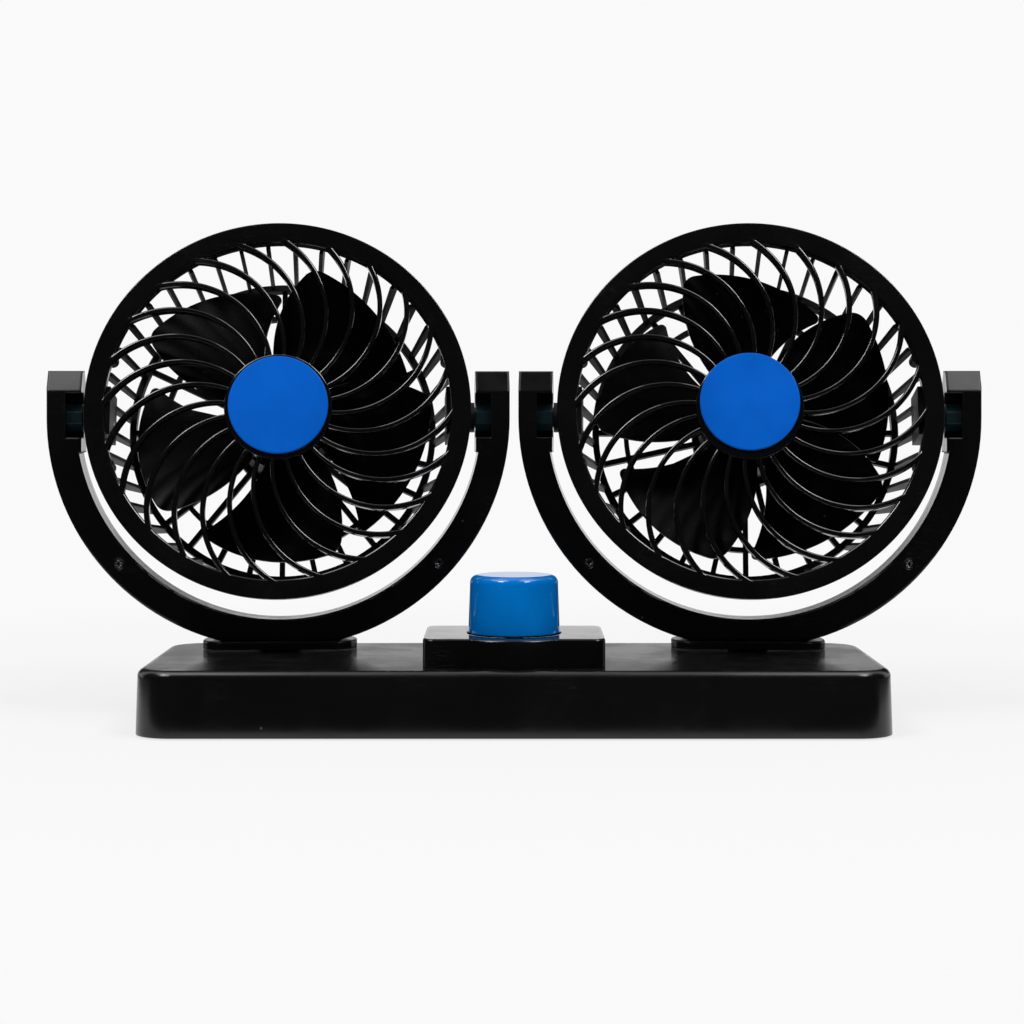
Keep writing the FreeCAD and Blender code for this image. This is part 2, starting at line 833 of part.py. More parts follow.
def pivot_pins():
    """Eight-sided pins held in the arms, with round journals that carry the head."""
    body = new_body("left_pivot_pins")
    place_on_yaws(body, d.pivot_height)
    for right in (-1, 1):
        block = new_sketch(body, "YZ_Plane", d.arm_inner * right)
        add_polygon(block, d.pin_flats, OCTAGON, 8)
        pad(body, block, d.pin_seat, backwards=right < 0)
        journal = new_sketch(body, "YZ_Plane", d.arm_inner * right)
        add_circle(journal, 0, 0, d.journal_radius)
        pad(body, journal, d.journal_length, backwards=right > 0)


def swivel_parts():
    """Foot plate with its hollow spigot, and the washer and clip that keep it in the base."""
    foot = new_body("left_swivel_foot")
    place_on_yaws(foot, foot_bottom)
    plate = new_sketch(foot, "XY_Plane")
    add_rounded_box(plate, 0, 0, d.foot_width, d.foot_depth, d.foot_corner)
    whole = pad(foot, plate, d.foot_thickness)
    round_edges(foot, whole, d.foot_edge, flat_at(d.foot_thickness))
    stub = new_sketch(foot, "XY_Plane", d.foot_thickness)
    add_circle(stub, 0, 0, d.stub_radius)
    pad(foot, stub, d.stub_height)
    clip_height = foot_bottom - boss_bottom + d.moving_gap + d.washer_thickness
    spigot_length = clip_height + d.clip_thickness + d.screw_gap + d.spigot_end
    spigot = new_sketch(foot, "XY_Plane")
    add_circle(spigot, 0, 0, d.spigot_radius)
    pad(foot, spigot, spigot_length, backwards=True)
    notch = new_sketch(foot, "XY_Plane", -clip_height)
    add_ring(notch, 0, 0, d.clip_radius, d.spigot_radius - d.clip_groove)
    pocket(foot, notch, d.clip_thickness + d.screw_gap)
    bore = new_sketch(foot, "XY_Plane", d.foot_thickness + d.stub_height)
    add_circle(bore, 0, 0, d.spigot_bore)
    pocket(foot, bore, d.foot_thickness + d.stub_height + spigot_length)

    washer = new_body("left_swivel_washer")
    place_on_yaws(washer, boss_bottom - d.moving_gap - d.washer_thickness)
    disc = new_sketch(washer, "XY_Plane")
    add_ring(disc, 0, 0, d.washer_radius, d.spigot_radius + d.screw_gap)
    pad(washer, disc, d.washer_thickness)

    clip = new_body("left_swivel_clip")
    clip_low = boss_bottom - d.moving_gap - d.washer_thickness - d.clip_thickness
    place_on_yaws(clip, clip_low)
    ring = new_sketch(clip, "XY_Plane")
    add_ring(ring, 0, 0, d.clip_radius, d.spigot_radius - d.clip_groove + d.screw_gap)
    pad(clip, ring, d.clip_thickness)
    mouth = new_sketch(clip, "XY_Plane")
    gap = d.spigot_radius - d.clip_groove
    add_box(mouth, 0, -gap / 2, 2 * d.clip_radius, gap / 2)
    pocket(clip, mouth, 2 * d.clip_thickness, midplane=True)


# A head's own frame: X to the right, Y up, Z forward, origin where the tilt and swivel axes cross
skirt_inner = d.ring_outer - d.ring_skirt
skirt_back = d.ring_front - d.ring_depth
flat_back = d.ring_front - d.ring_flat
rim_outer = skirt_inner - d.rim_gap
rim_inner = rim_outer - d.rim_wall
rim_back = flat_back - d.lug_length
cup_inner = d.motor_radius + d.motor_gap
cup_outer = cup_inner + d.cup_wall
motor_back = -d.motor_front - d.motor_length
endbell_back = motor_back - d.endbell_length
lug_x = d.lug_place * cosine(d.lug_turn)
lug_y = d.lug_place * sine(d.lug_turn)
lug_spots = [(lug_x * right, lug_y * up) for right in (-1, 1) for up in (-1, 1)]


def place_in_head(body, side, up=0, forward=0):
    """Set a piece of a head at its yoke's pivot, toed in and leaning back by the rest tilt.

    It can stand off the pivot upwards and forwards in the head's own frame."""
    turn = d.rest_toe * -SIDES[side]
    ahead = forward * cosine(d.rest_tilt) - up * sine(d.rest_tilt)
    rise = forward * sine(d.rest_tilt) + up * cosine(d.rest_tilt)
    place(body, "Placement", head_x * SIDES[side] + ahead * sine(turn), d.yaw_place - ahead * cosine(turn),
          d.pivot_height + rise, about_z=turn, about_x=90 - d.rest_tilt)


def place_in_heads(left):
    """Set a piece of each head at its yoke's pivot."""
    for side, body in both_sides(left).items():
        place_in_head(body, side)


def front_guard():
    """Ring, hub and curved ribs that leave the hub radially and turn towards the rim."""
    bevel = d.ring_bevel
    ring = [
        (d.ring_inner, flat_back), (skirt_inner, flat_back), (skirt_inner, skirt_back),
        (d.ring_outer - d.ring_taper, skirt_back), (d.ring_outer, d.ring_front - bevel),
        (d.ring_outer - bevel, d.ring_front, bevel), (d.ring_inner + bevel, d.ring_front),
        (d.ring_inner, d.ring_front - bevel),
    ]
    inside = d.hub_radius - d.hub_wall
    hub = [
        (0, d.hub_front - d.hub_wall), (inside, d.hub_front - d.hub_wall), (inside, d.hub_back),
        (d.hub_radius, d.hub_back), (d.hub_radius, d.hub_front - d.hub_bevel),
        (d.hub_radius - d.hub_bevel, d.hub_front), (0, d.hub_front),
    ]
    body = revolved_body("left_front_guard", ring, hub)
    place_in_heads(body)

    rib = new_sketch(body, "XY_Plane", d.hub_back, d.rib_turn)
    start = d.hub_radius - d.hub_wall / 2
    outer = d.rib_curve + d.rib_width / 2
    inner = d.rib_curve - d.rib_width / 2
    end_y = root((skirt_inner + d.ring_inner) * (skirt_inner + d.ring_inner) / 4 - (start + d.rib_curve)
                 * (start + d.rib_curve)) + d.rib_width
    outer_x = start + root(outer * outer - (end_y - d.rib_curve) * (end_y - d.rib_curve))
    inner_x = start + root(inner * inner - (end_y - d.rib_curve) * (end_y - d.rib_curve))
    add_outline(rib, [(start, -d.rib_width / 2), (outer_x, end_y, outer), (inner_x, end_y),
                      (start, d.rib_width / 2, -inner)])
    blank = pad(body, rib, d.hub_front - d.hub_bevel - d.hub_back)
    repeat_round(body, blank, d.rib_count)

    at_hub = d.ring_front + d.rib_rise
    above = new_sketch(body, "XZ_Plane")
    high = d.hub_front + d.ring_flat
    wide = d.ring_outer + d.ring_flat
    add_outline(above, [(d.hub_radius, high), (wide, high), (wide, d.ring_front),
                        (d.ring_inner + d.rib_land, d.ring_front), (d.hub_radius, at_hub, d.rib_dome)])
    groove(body, above)
    below = new_sketch(body, "XZ_Plane")
    low = d.hub_back - d.ring_flat
    add_outline(below, [(d.hub_radius, low), (skirt_inner, low), (skirt_inner, flat_back),
                        (d.ring_inner, flat_back), (d.hub_radius, at_hub - d.rib_depth, d.rib_dome)])
    groove(body, below)

    pilots = new_sketch(body, "XY_Plane", flat_back)
    for x, y in lug_spots:
        add_circle(pilots, x, y, d.small_shank + d.screw_gap)
    pocket(body, pilots, d.lug_bite, backwards=True)
    return body


def hub_disc():
    """Round disc bonded to the front of each hub, not quite in its middle."""
    front = d.disc_thickness
    body = revolved_body("left_hub_disc", [
        (0, 0), (d.disc_radius, 0), (d.disc_radius, front - d.disc_round),
        (d.disc_radius - d.disc_round, front, d.disc_round), (0, front),
    ])
    discs = both_sides(body)
    place_in_head(discs["left"], "left", up=d.left_disc_rise, forward=d.hub_front)
    place_in_head(discs["right"], "right", up=d.right_disc_rise, forward=d.hub_front)


def rear_guard():
    """Basket of a rim with the pivot bosses, fins along its side, hoops and spokes, and the motor's cup."""
    rim = [(rim_inner, rim_back), (rim_outer, rim_back), (rim_outer, flat_back), (rim_inner, flat_back)]
    back = -d.cage_back
    outer_edge = d.outer_hoop + d.outer_hoop_width
    hoop_front = back + d.outer_hoop_depth
    outer_hoop = [(d.outer_hoop, back), (outer_edge, back), (outer_edge, hoop_front),
                  (d.outer_hoop, hoop_front)]
    inner_edge = d.inner_hoop + d.inner_hoop_width
    spoke_front = back + d.spoke_depth
    inner_hoop = [(d.inner_hoop, back), (inner_edge, back), (inner_edge, spoke_front),
                  (d.inner_hoop, spoke_front)]
    face = -d.motor_front
    hole = d.motor_boss + d.motor_gap
    cup = [(hole, face), (cup_inner, face), (cup_inner, endbell_back), (cup_outer, endbell_back),
           (cup_outer, face + d.cup_face), (hole, face + d.cup_face)]
    body = revolved_body("left_rear_guard", rim, outer_hoop, inner_hoop, cup)
    place_in_heads(body)

    hoop_middle = d.outer_hoop + d.outer_hoop_width / 2
    cup_middle = cup_inner + d.cup_wall / 2
    rim_middle = rim_inner + d.rim_wall / 2
    spoke = new_sketch(body, "XZ_Plane")
    add_box(spoke, cup_middle, back, hoop_middle, spoke_front)
    repeat_round(body, pad(body, spoke, d.spoke_thickness, midplane=True), d.spoke_count)
    fin = new_sketch(body, "XZ_Plane", turn=180 / d.fin_count)
    add_outline(fin, [(hoop_middle, hoop_front), (hoop_middle, back), (outer_edge, back),
                      (rim_outer, rim_back), (rim_middle, rim_back + d.fin_reach),
                      (rim_inner - d.fin_reach, rim_back + d.fin_reach)])
    repeat_round(body, pad(body, fin, d.fin_thickness, midplane=True), d.fin_count)

    for right in (-1, 1):
        boss = new_sketch(body, "YZ_Plane", (d.arm_inner - d.moving_gap) * right)
        add_circle(boss, 0, 0, d.boss_radius)
        pad(body, boss, d.arm_inner - d.moving_gap - rim_middle, backwards=right > 0)
        block = new_sketch(body, "YZ_Plane", rim_middle * right)
        half = d.boss_block_height / 2
        add_box(block, -half, -d.boss_block_back, half, flat_back - d.rim_gap)
        pad(body, block, d.boss_block + d.rim_wall / 2, backwards=right > 0)
    bore = new_sketch(body, "YZ_Plane")
    add_circle(bore, 0, 0, d.journal_radius + d.running_gap)
    pocket(body, bore, 2 * d.yoke_outer, midplane=True)

    lugs = new_sketch(body, "XY_Plane", rim_back)
    holes = new_sketch(body, "XY_Plane", flat_back)
    for x, y in lug_spots:
        add_circle(lugs, x, y, d.lug_radius)
        add_circle(holes, x, y, d.small_shank + d.head_gap)
    pad(body, lugs, d.lug_length)
    pocket(body, holes, d.lug_length)
    return body


def guard_screws():
    """Screws from behind that hold the front guard on the rear one."""
    body = screw_group("left_guard_screws", "XY_Plane", lug_spots, rim_back, d.small_head,
                       d.small_head_height, d.small_shank, d.lug_length + d.lug_bite - d.screw_gap,
                       upwards=True)
    place_in_heads(body)


def motor_parts():
    """Motor with its end bell and shaft, and the cover that closes its cup."""
    bore = d.shaft_radius + d.running_gap
    front = -d.motor_front
    can = revolved_body("left_motor_can", [
        (bore, motor_back), (d.motor_radius, motor_back), (d.motor_radius, front), (d.motor_boss, front),
        (d.motor_boss, front + d.motor_boss_height), (bore, front + d.motor_boss_height),
    ])
    place_in_heads(can)
    endbell = revolved_body("left_motor_endbell", [
        (0, endbell_back), (d.motor_radius, endbell_back), (d.motor_radius, motor_back), (bore, motor_back),
        (bore, motor_back - d.endbell_length / 2), (0, motor_back - d.endbell_length / 2),
    ])
    place_in_heads(endbell)
    shaft = revolved_body("left_motor_shaft", [
        (0, motor_back - d.endbell_length / 2 + d.running_gap),
        (d.shaft_radius, motor_back - d.endbell_length / 2 + d.running_gap),
        (d.shaft_radius, d.shaft_front), (0, d.shaft_front),
    ])
    place_in_heads(shaft)
    inner = cup_outer + d.motor_gap
    outer = inner + d.cover_wall
    floor = endbell_back - d.motor_gap
    outside = floor - d.cover_wall
    cover = revolved_body("left_motor_cover", [
        (0, outside), (outer - d.cover_round, outside), (outer, outside + d.cover_round, d.cover_round),
        (outer, floor + d.cover_skirt), (inner, floor + d.cover_skirt), (inner, floor), (0, floor),
    ])
    place_in_heads(cover)


def blade_outline(tip, lobe, low, high, start, sweep, corner, nose):
    """A blade seen from the front as a prism, swept against its turn: sharp nose, full trailing side."""
    def spot(radius, angle):
        turn = math.radians(angle)
        return Vector(radius * math.cos(turn), radius * math.sin(turn), low)

    half = d.blade_span.value / 2
    middle = (start + tip) / 2
    leading = spot(tip - lobe, -half - sweep)
    trailing = spot(tip + lobe, half - sweep)
    edges = [
        Part.Arc(spot(start, -half), spot(middle, -half - sweep / 2), leading).toShape(),
        Part.Arc(leading, spot(tip, -sweep), trailing).toShape(),
        Part.Arc(trailing, spot(middle, half - sweep / 3), spot(start, half)).toShape(),
        Part.LineSegment(spot(start, half), spot(start, -half)).toShape(),
    ]
    prism = Part.Face(Part.Wire(edges)).extrude(Vector(0, 0, high - low))
    for point, radius in ((leading, nose), (trailing, corner)):
        corners = [edge for edge in prism.Edges
                   if edge.BoundBox.ZLength > (high - low) / 2
                   and math.hypot(edge.CenterOfMass.x - point.x, edge.CenterOfMass.y - point.y) < nose / 2]
        prism = prism.makeFillet(radius, corners)
    return prism


def twisted_plate(start, tip, reach, thickness, middle):
    """A plate along X whose pitch eases from root to tip, leading edge to the rear."""
    sections = []
    steps = 4
    for step in range(steps + 1):
        share = step / steps
        radius = start + (tip - start) * share
        pitch = math.radians(d.root_pitch.value + (d.tip_pitch.value - d.root_pitch.value) * share)
        along = Vector(0, math.cos(pitch), math.sin(pitch)) * reach
        thick = Vector(0, -math.sin(pitch), math.cos(pitch)) * (thickness / 2)
        centre = Vector(radius, 0, middle)
        corners = [centre - along - thick, centre + along - thick, centre + along + thick,
                   centre - along + thick]
        sections.append(Part.makePolygon(corners + corners[:1]))
    return Part.makeLoft(sections, True, False)


def impellers():
    """Hub cup on each motor shaft with its twisted blades, as it came to rest."""
    hub = d.impeller_hub.value
    front = d.impeller_front.value
    back = -d.impeller_back.value
    wall = d.impeller_wall.value
    corner = d.impeller_round.value
    bore = d.shaft_radius.value + d.screw_gap.value / 5
    boss = d.impeller_boss.value
    shaft_end = d.shaft_front.value + d.running_gap.value
    arc = corner * (1 - math.sqrt(0.5))
    profile = [
        Part.LineSegment(Vector(0, 0, shaft_end), Vector(bore, 0, shaft_end)),
        Part.LineSegment(Vector(bore, 0, shaft_end), Vector(bore, 0, back)),
        Part.LineSegment(Vector(bore, 0, back), Vector(boss, 0, back)),
        Part.LineSegment(Vector(boss, 0, back), Vector(boss, 0, front - wall)),
        Part.LineSegment(Vector(boss, 0, front - wall), Vector(hub - wall, 0, front - wall - corner / 2)),
        Part.LineSegment(Vector(hub - wall, 0, front - wall - corner / 2), Vector(hub - wall, 0, back)),
        Part.LineSegment(Vector(hub - wall, 0, back), Vector(hub, 0, back)),
        Part.LineSegment(Vector(hub, 0, back), Vector(hub, 0, front - corner)),
        Part.Arc(Vector(hub, 0, front - corner), Vector(hub - arc, 0, front - arc),
                 Vector(hub - corner, 0, front)),
        Part.LineSegment(Vector(hub - corner, 0, front), Vector(0, 0, front)),
        Part.LineSegment(Vector(0, 0, front), Vector(0, 0, shaft_end)),
    ]
    core = Part.Face(Part.Wire([curve.toShape() for curve in profile])).revolve(
        Vector(0, 0, 0), Vector(0, 0, 1), 360)
    tip = d.blade_tip.value
    root_radius = hub - wall / 2
    reach = tip * math.sin(math.radians(d.blade_span.value / 2 + d.blade_sweep.value)) * 1.5
    plate = twisted_plate(0, tip * 1.2, reach, d.blade_thickness.value, d.blade_middle.value)
    plate.rotate(Vector(0, 0, 0), Vector(0, 0, 1), -d.blade_sweep.value / 2)
    outline = blade_outline(tip, d.blade_lobe.value, -tip, tip, root_radius, d.blade_sweep.value,
                            d.blade_round.value, d.blade_nose.value)
    blade = plate.common(outline)
    count = int(d.blade_count.value)
    for side, turn in (("left", d.left_blade_turn), ("right", d.right_blade_turn)):
        blades = []
        for step in range(count):
            copy = blade.copy()
            copy.rotate(Vector(0, 0, 0), Vector(0, 0, 1), turn.value + 360 / count * step)
            blades.append(copy)
        node = doc.addObject("Part::Feature", f"{side}_impeller")
        node.Label = f"{side}_impeller"
        node.Shape = core.multiFuse(blades).removeSplitter()
        place_in_head(node, side)
        sub_parts.append(node)


base_housing()
base_cover()
cover_seat = shell_bottom + d.screw_head_height + d.head_gap
screw_group("base_screws", "XY_Plane", corner_spots, cover_seat, d.screw_head, d.screw_head_height,
            d.screw_shank, d.screw_length, upwards=True)
adhesive_pad()
switch_pod()
screw_group("pod_screws", "XY_Plane", pod_spots, ceiling, d.screw_head, d.screw_head_height,
            d.screw_shank, d.screw_length - d.screw_gap, upwards=True)
switch_parts()
button_cap()
cable_grommet()
yoke_half("yoke_front", front=True)
yoke_half("yoke_rear", front=False)
yoke_screws()
pivot_pins()
swivel_parts()
front_guard()
hub_disc()
rear_guard()
guard_screws()
motor_parts()
impellers()
doc.recompute()

for item in doc.Objects:
    if "Invalid" in item.State or "Error" in item.State:
        raise RuntimeError(f"{item.Label} failed: {item.State}")
for piece in sub_parts:
    if piece.Shape.isNull() or not piece.Shape.isValid():
        raise RuntimeError(f"{piece.Label} has no valid shape")

os.makedirs("parts", exist_ok=True)
for piece in sub_parts:
    piece.Shape.exportStep(os.path.join("parts", f"{piece.Label}.step"))
    print(f"{piece.Label}: {len(piece.Shape.Solids)} solids, {piece.Shape.Volume:.1f} mm3")
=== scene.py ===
import json
import math

import bmesh
import bpy
import numpy as np
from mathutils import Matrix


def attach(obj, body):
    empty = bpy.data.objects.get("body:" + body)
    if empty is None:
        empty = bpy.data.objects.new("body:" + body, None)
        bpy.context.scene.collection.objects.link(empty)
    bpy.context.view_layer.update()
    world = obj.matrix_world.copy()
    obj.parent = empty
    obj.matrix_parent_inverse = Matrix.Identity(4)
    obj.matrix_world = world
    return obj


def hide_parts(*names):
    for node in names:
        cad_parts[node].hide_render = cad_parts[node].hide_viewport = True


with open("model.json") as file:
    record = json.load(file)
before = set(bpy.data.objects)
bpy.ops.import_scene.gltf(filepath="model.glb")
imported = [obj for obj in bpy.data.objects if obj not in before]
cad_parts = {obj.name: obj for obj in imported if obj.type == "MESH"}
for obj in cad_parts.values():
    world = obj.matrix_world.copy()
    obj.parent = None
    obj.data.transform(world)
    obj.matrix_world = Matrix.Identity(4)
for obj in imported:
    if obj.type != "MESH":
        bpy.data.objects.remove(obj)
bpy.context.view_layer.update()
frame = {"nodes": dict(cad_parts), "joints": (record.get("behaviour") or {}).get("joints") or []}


# Base shell, switch block and swivel feet: glossy black ABS, injection moulded. The block is screwed on from
# inside the shell, and each foot turns in a boss of it. Polished tool faces leave a faint ripple, and the top
# faces hold a little dust and fine rubbing marks.
SIDES = ("left", "right")
NOISE_MIDDLE = 0.5
BLOTCH_SCALE = 38.0
RUB_SCALE = 55.0
DUST_SCALE = 120.0
DUST_COLOUR = (0.42, 0.41, 0.39)
BLOTCH_LIFT = 1.25
EDGE_WEAR = 0.5
DUST_DULLING = 0.5
SKIN_DEPTH = 0.0002


def new_group(name, inputs, outputs):
    """A shader node group with named value inputs and the outputs given as (name, socket type)."""
    group = bpy.data.node_groups.new(name, "ShaderNodeTree")
    for label, default in inputs:
        socket = group.interface.new_socket(label, in_out="INPUT", socket_type="NodeSocketFloat")
        socket.default_value = default
    for label, kind in outputs:
        group.interface.new_socket(label, in_out="OUTPUT", socket_type=kind)
    return group, group.nodes.new("NodeGroupInput"), group.nodes.new("NodeGroupOutput")


def add_node(tree, kind, sockets=(), **settings):
    """A node with its settings, and its inputs either set to numbers or linked to other sockets."""
    node = tree.nodes.new(kind)
    for name, value in settings.items():
        setattr(node, name, value)
    for key, value in dict(sockets).items():
        if isinstance(value, bpy.types.NodeSocket):
            tree.links.new(value, node.inputs[key])
        else:
            node.inputs[key].default_value = value
    return node


def math_node(tree, operation, first, second=0.0, third=0.0):
    """One arithmetic node, and its result."""
    return add_node(tree, "ShaderNodeMath", {0: first, 1: second, 2: third}, operation=operation).outputs[0]


def ramp(tree, value, low, high, at_low=0.0, at_high=1.0):
    """A smooth step of a value from low to high."""
    node = add_node(tree, "ShaderNodeMapRange", {"Value": value, "From Min": low, "From Max": high,
                                                 "To Min": at_low, "To Max": at_high},
                    interpolation_type="SMOOTHSTEP")
    return node.outputs["Result"]


def noise(tree, place, scale, detail, roughness=0.5):
    """A noise pattern, whose values lie about NOISE_MIDDLE."""
    node = add_node(tree, "ShaderNodeTexNoise", {"Vector": place, "Scale": scale, "Detail": detail,
                                                 "Roughness": roughness})
    return node.outputs["Fac"]


def colour_mix(tree, share, first, second):
    """A blend from one colour to another, each a socket or three numbers."""
    first, second = (part if isinstance(part, bpy.types.NodeSocket) else (*part, 1.0)
                     for part in (first, second))
    node = add_node(tree, "ShaderNodeMix", {"Factor": share, "A": first, "B": second}, data_type="RGBA")
    return node.outputs["Result"]


# Skin of a moulding: a long ripple from the tool's polish, a fine grain, and blotches of more and less gloss.
skin_group, skin_in, skin_out = new_group(
    "moulded_skin", [("Ripple Scale", 260.0), ("Grain Scale", 2600.0), ("Grain Share", 0.3)],
    [("Height", "NodeSocketFloat"), ("Blotch", "NodeSocketFloat")])
place = add_node(skin_group, "ShaderNodeTexCoord").outputs["Object"]
ripple = noise(skin_group, place, skin_in.outputs["Ripple Scale"], detail=2.0)
grain = noise(skin_group, place, skin_in.outputs["Grain Scale"], detail=3.0)
blotch = noise(skin_group, place, BLOTCH_SCALE, detail=5.0, roughness=0.6)
height = add_node(skin_group, "ShaderNodeMix", {"Factor": skin_in.outputs["Grain Share"], "A": ripple,
                                                "B": grain}).outputs["Result"]
skin_group.links.new(height, skin_out.inputs["Height"])
skin_group.links.new(ramp(skin_group, blotch, low=0.3, high=0.7), skin_out.inputs["Blotch"])

# Marks of use: hair-fine rubbing lines in two directions, dust that settles on upward faces, single specks.
marks_group, marks_in, marks_out = new_group(
    "marks_of_use", [("Line Scale", 60.0), ("Speck Scale", 260.0)],
    [("Lines", "NodeSocketFloat"), ("Dust", "NodeSocketFloat"), ("Specks", "NodeSocketFloat")])
place = add_node(marks_group, "ShaderNodeTexCoord").outputs["Object"]
lines = []
for turn, stretch in ((0.35, 26.0), (-0.9, 34.0)):
    slanted = add_node(marks_group, "ShaderNodeMapping", {"Vector": place, "Rotation": (0.3, turn, turn),
                                                          "Scale": (1.0, stretch, stretch)}).outputs["Vector"]
    streak = noise(marks_group, slanted, marks_in.outputs["Line Scale"], detail=2.0)
    from_middle = math_node(marks_group, "SUBTRACT", streak, NOISE_MIDDLE)
    from_middle = math_node(marks_group, "ABSOLUTE", from_middle)
    lines.append(ramp(marks_group, from_middle, low=0.0, high=0.012, at_low=1.0, at_high=0.0))
rubbed = ramp(marks_group, noise(marks_group, place, RUB_SCALE, detail=3.0), low=0.5, high=0.68)
line_mask = math_node(marks_group, "MULTIPLY", math_node(marks_group, "MAXIMUM", lines[0], lines[1]), rubbed)
marks_group.links.new(line_mask, marks_out.inputs["Lines"])
facing = add_node(marks_group, "ShaderNodeNewGeometry").outputs["Normal"]
upward = add_node(marks_group, "ShaderNodeSeparateXYZ", {"Vector": facing}).outputs["Z"]
cloud = noise(marks_group, place, DUST_SCALE, detail=6.0, roughness=0.7)
settled = math_node(marks_group, "MULTIPLY", ramp(marks_group, upward, low=0.55, high=0.98),
                    ramp(marks_group, cloud, low=0.42, high=0.8))
marks_group.links.new(settled, marks_out.inputs["Dust"])
cells = add_node(marks_group, "ShaderNodeTexVoronoi", {"Vector": place,
                                                       "Scale": marks_in.outputs["Speck Scale"]})
chance = add_node(marks_group, "ShaderNodeSeparateColor", {"Color": cells.outputs["Color"]}).outputs["Red"]
spot = ramp(marks_group, cells.outputs["Distance"], low=0.05, high=0.13, at_low=1.0, at_high=0.0)
speck = math_node(marks_group, "MULTIPLY", spot, ramp(marks_group, chance, low=0.965, high=0.975))
marks_group.links.new(speck, marks_out.inputs["Specks"])

# Softened edge: each moulded or cut edge has a small radius that catches a line of light and is rubbed paler.
edge_group, edge_in, edge_out = new_group(
    "softened_edge", [("Radius", 0.0003)], [("Normal", "NodeSocketVector"), ("Edge", "NodeSocketFloat")])
bevel = add_node(edge_group, "ShaderNodeBevel", {"Radius": edge_in.outputs["Radius"]}, samples=6)
rounded = bevel.outputs["Normal"]
flat = add_node(edge_group, "ShaderNodeNewGeometry").outputs["Normal"]
alike = add_node(edge_group, "ShaderNodeVectorMath", {0: rounded, 1: flat}, operation="DOT_PRODUCT")
edge_mask = ramp(edge_group, alike.outputs["Value"], low=0.8, high=0.99, at_low=1.0, at_high=0.0)
edge_group.links.new(rounded, edge_out.inputs["Normal"])
edge_group.links.new(edge_mask, edge_out.inputs["Edge"])


def moulded_plastic(name, colour, worn_colour, roughness, blotch_roughness, bump, ripple=260.0, grain=2600.0,
                    grain_share=0.3, dust=0.1, lines=0.1, specks=0.2, edge=0.0003, specular=0.5):
    """A moulded plastic: colour under dust, specks and pale edges, varying gloss, ripple and soft edges."""
    material = bpy.data.materials.new(name)
    material.use_nodes = True
    tree = material.node_tree
    shader = tree.nodes["Principled BSDF"]
    skin = add_node(tree, "ShaderNodeGroup", node_tree=skin_group)
    skin.inputs["Ripple Scale"].default_value = ripple
    skin.inputs["Grain Scale"].default_value = grain
    skin.inputs["Grain Share"].default_value = grain_share
    marks = add_node(tree, "ShaderNodeGroup", node_tree=marks_group)
    soft = add_node(tree, "ShaderNodeGroup", {"Radius": edge}, node_tree=edge_group)
    shade = colour_mix(tree, skin.outputs["Blotch"], colour, [BLOTCH_LIFT * part for part in colour])
    worn = colour_mix(tree, math_node(tree, "MULTIPLY", soft.outputs["Edge"], EDGE_WEAR), shade, worn_colour)
    dusty = math_node(tree, "MULTIPLY", marks.outputs["Dust"], dust)
    lined = math_node(tree, "MULTIPLY", marks.outputs["Lines"], lines)
    specked = math_node(tree, "MULTIPLY", marks.outputs["Specks"], specks)
    pale = math_node(tree, "MAXIMUM", math_node(tree, "MAXIMUM", dusty, lined), specked)
    tree.links.new(colour_mix(tree, pale, worn, DUST_COLOUR), shader.inputs["Base Color"])
    gloss = ramp(tree, skin.outputs["Blotch"], low=0.0, high=1.0, at_low=roughness,
                 at_high=roughness + blotch_roughness)
    dulled = math_node(tree, "MULTIPLY_ADD", pale, DUST_DULLING, gloss)
    tree.links.new(math_node(tree, "MINIMUM", dulled, 1.0), shader.inputs["Roughness"])
    relief = add_node(tree, "ShaderNodeBump", {"Height": skin.outputs["Height"], "Strength": bump,
                                               "Normal": soft.outputs["Normal"], "Distance": SKIN_DEPTH})
    tree.links.new(relief.outputs["Normal"], shader.inputs["Normal"])
    shader.inputs["Specular IOR Level"].default_value = specular
    return material


def both_sides(*pieces):
    """The names of pieces that the left and the right side each have."""
    return [f"{side}_{piece}" for side in SIDES for piece in pieces]


def dress(material, *nodes):
    """Give CAD nodes their material."""
    for name in nodes:
        mesh = frame["nodes"][name].data
        mesh.materials.clear()
        mesh.materials.append(material)


base_black = moulded_plastic(
    "base_black", colour=(0.003, 0.003, 0.003), worn_colour=(0.012, 0.012, 0.012), roughness=0.17,
    blotch_roughness=0.06, bump=0.04, dust=0.03, lines=0.02, specks=0.12, edge=0.001)
dress(base_black, "base_housing", *both_sides("swivel_foot"))
pod_black = moulded_plastic(
    "pod_black", colour=(0.0018, 0.0018, 0.0018), worn_colour=(0.01, 0.01, 0.01), roughness=0.05,
    blotch_roughness=0.04, bump=0.03, dust=0.025, lines=0.03, specks=0.08, edge=0.0006)
dress(pod_black, "switch_pod")


# Cover plate under the base and push switch inside it: black ABS with the fine grain of a blasted tool. The
# plate is screwed into the shell from below, and the switch hangs from its nut.
inner_black = moulded_plastic(
    "inner_black", colour=(0.018, 0.018, 0.019), worn_colour=(0.05, 0.05, 0.05), roughness=0.5,
    blotch_roughness=0.15, bump=0.3, grain=4200.0, grain_share=0.8, dust=0.05, lines=0.03, specks=0.1)
dress(inner_black, "base_plate", "switch_body")


# Pad under the base: black closed-cell foam with an adhesive face, cut to shape from a sheet and pressed into
# the cover's seat. Its cut cells make it coarse and dull.
pad_foam = moulded_plastic(
    "pad_foam", colour=(0.04, 0.04, 0.042), worn_colour=(0.08, 0.08, 0.08), roughness=0.85,
    blotch_roughness=0.1, bump=0.9, ripple=1500.0, grain=5200.0, grain_share=0.6, dust=0.02, lines=0.0,
    specks=0.3, specular=0.3)
dress(pad_foam, "adhesive_pad")


